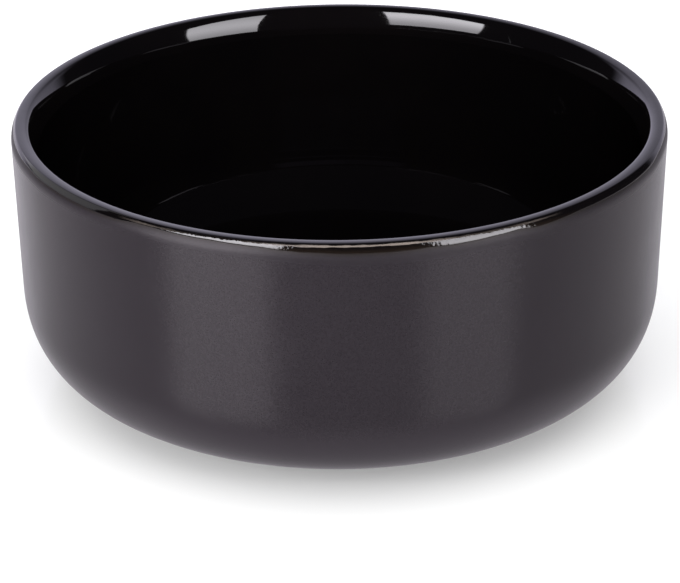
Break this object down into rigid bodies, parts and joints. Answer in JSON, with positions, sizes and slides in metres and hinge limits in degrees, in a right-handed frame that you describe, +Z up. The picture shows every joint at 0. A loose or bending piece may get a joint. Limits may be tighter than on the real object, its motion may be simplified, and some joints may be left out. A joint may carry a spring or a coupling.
{
  "type": "ramekin",
  "caption": "Low round stoneware ramekin with upright walls and a foot ring, gloss black inside and satin charcoal outside.",
  "frame": {"origin": "centre of the foot ring, on the surface that the ramekin stands on", "axes": "+Z up along the axis that the ramekin is turned on; +X to the right and -Y towards the viewer in the picture"},
  "size_m": [0.12, 0.12, 0.0507],
  "materials": {
    "fired_clay": "bare fired stoneware, dry and slightly rough",
    "gloss_black_glaze": "gloss black liner glaze",
    "satin_charcoal_glaze": "satin charcoal glaze with a faint purple-brown cast"
  },
  "bodies": {
    "root": {"stoneware_body": "fired_clay", "liner_glaze": "gloss_black_glaze", "outer_glaze": "satin_charcoal_glaze", "recess_glaze": "satin_charcoal_glaze"}
  },
  "joints": []
}
